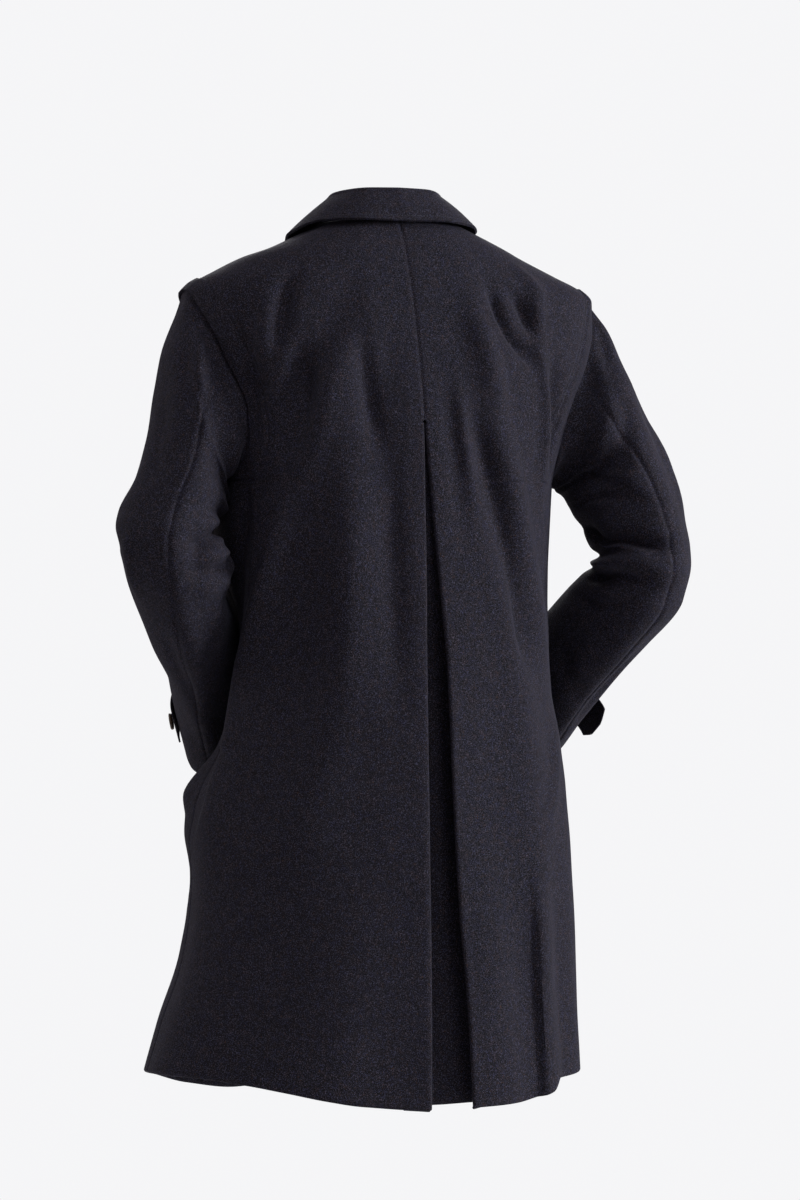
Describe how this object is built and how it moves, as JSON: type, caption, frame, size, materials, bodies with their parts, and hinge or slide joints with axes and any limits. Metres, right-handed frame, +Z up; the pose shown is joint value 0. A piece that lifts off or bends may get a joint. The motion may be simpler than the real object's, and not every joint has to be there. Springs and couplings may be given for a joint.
{
  "type": "wool overcoat",
  "caption": "Long A-line wool overcoat as worn, with turn-down collar, lapped armholes, two-piece sleeves and an inverted centre-back pleat.",
  "frame": {"origin": "at the base of the neck, where the wearer's shoulders carry the coat", "axes": "+Z up, +Y towards the wearer's back, +X towards the wearer's left"},
  "size_m": [0.7129, 0.3828, 1.106],
  "materials": {
    "melton": "matte napped navy melange wool",
    "horn": "satin dark horn"
  },
  "bodies": {
    "root": {"back_left": "melton", "back_right": "melton", "front_left": "melton", "front_right": "melton", "pleat_underlay": "melton", "collar": "melton", "sleeve_upper_left": "melton", "sleeve_under_left": "melton", "sleeve_upper_right": "melton", "sleeve_under_right": "melton", "cuff_tab_left": "melton", "cuff_tab_right": "melton", "pocket_welt_left": "melton", "pocket_welt_right": "melton", "cuff_button_left": "horn", "cuff_button_right": "horn", "front_button_1": "horn", "front_button_2": "horn", "front_button_3": "horn", "front_button_4": "horn"}
  },
  "joints": []
}
